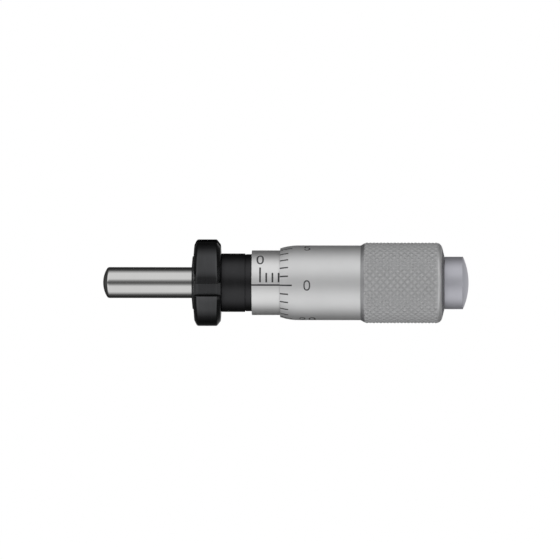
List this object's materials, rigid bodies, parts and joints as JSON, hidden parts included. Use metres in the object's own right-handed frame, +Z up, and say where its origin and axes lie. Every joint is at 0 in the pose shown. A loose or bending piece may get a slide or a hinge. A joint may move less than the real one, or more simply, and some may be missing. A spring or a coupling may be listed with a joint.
{
  "type": "micrometer head",
  "caption": "Small micrometer head: black clamp-nut stem, chrome sleeve with linear scale, knurled thimble with circular scale, domed end cap and round-tipped spindle.",
  "frame": {"origin": "on the spindle axis at the seat shoulder, the sleeve's front face that meets the fixture plate", "axes": "+X along the spindle axis from the tip towards the thimble, -Y out of the datum line of the scale, +Z up"},
  "size_m": [0.0376, 0.0088, 0.0088],
  "materials": {
    "black_oxide": "black oxide on steel, satin, slightly oily",
    "satin_chrome": "satin chrome plate on steel with black filled graduations",
    "ground_steel": "hardened steel, ground and lapped",
    "turned_steel": "satin turned steel"
  },
  "bodies": {
    "stem_group": {"stem": "black_oxide", "adjusting_nut": "black_oxide"},
    "sleeve": {"scale_sleeve": "satin_chrome"},
    "nut": {"clamp_nut": "black_oxide"},
    "cap": {"end_cap": "turned_steel"},
    "thimble_group": {"thimble": "satin_chrome", "spindle": "ground_steel"}
  },
  "joints": [
    {"name": "spindle_feed", "type": "slide", "parent": "stem_group", "child": "cap", "axis": [1, 0, 0], "range_m": [-0.00191, 0.00445]},
    {"name": "thimble_turn", "type": "hinge", "parent": "cap", "child": "thimble_group", "pos_m": [0, 0, 0], "axis": [1, 0, 0], "range_deg": [-1080, 2520]},
    {"name": "sleeve_zero_set", "type": "hinge", "parent": "stem_group", "child": "sleeve", "pos_m": [0, 0, 0], "axis": [1, 0, 0], "range_deg": [-30, 30]},
    {"name": "clamp_nut_off", "type": "slide", "parent": "stem_group", "child": "nut", "axis": [-1, 0, 0], "range_m": [0, 0.0145]}
  ],
  "couplings": [
    {"joint": "thimble_turn", "follows": "spindle_feed", "rad_per_m": 9894.8}
  ]
}
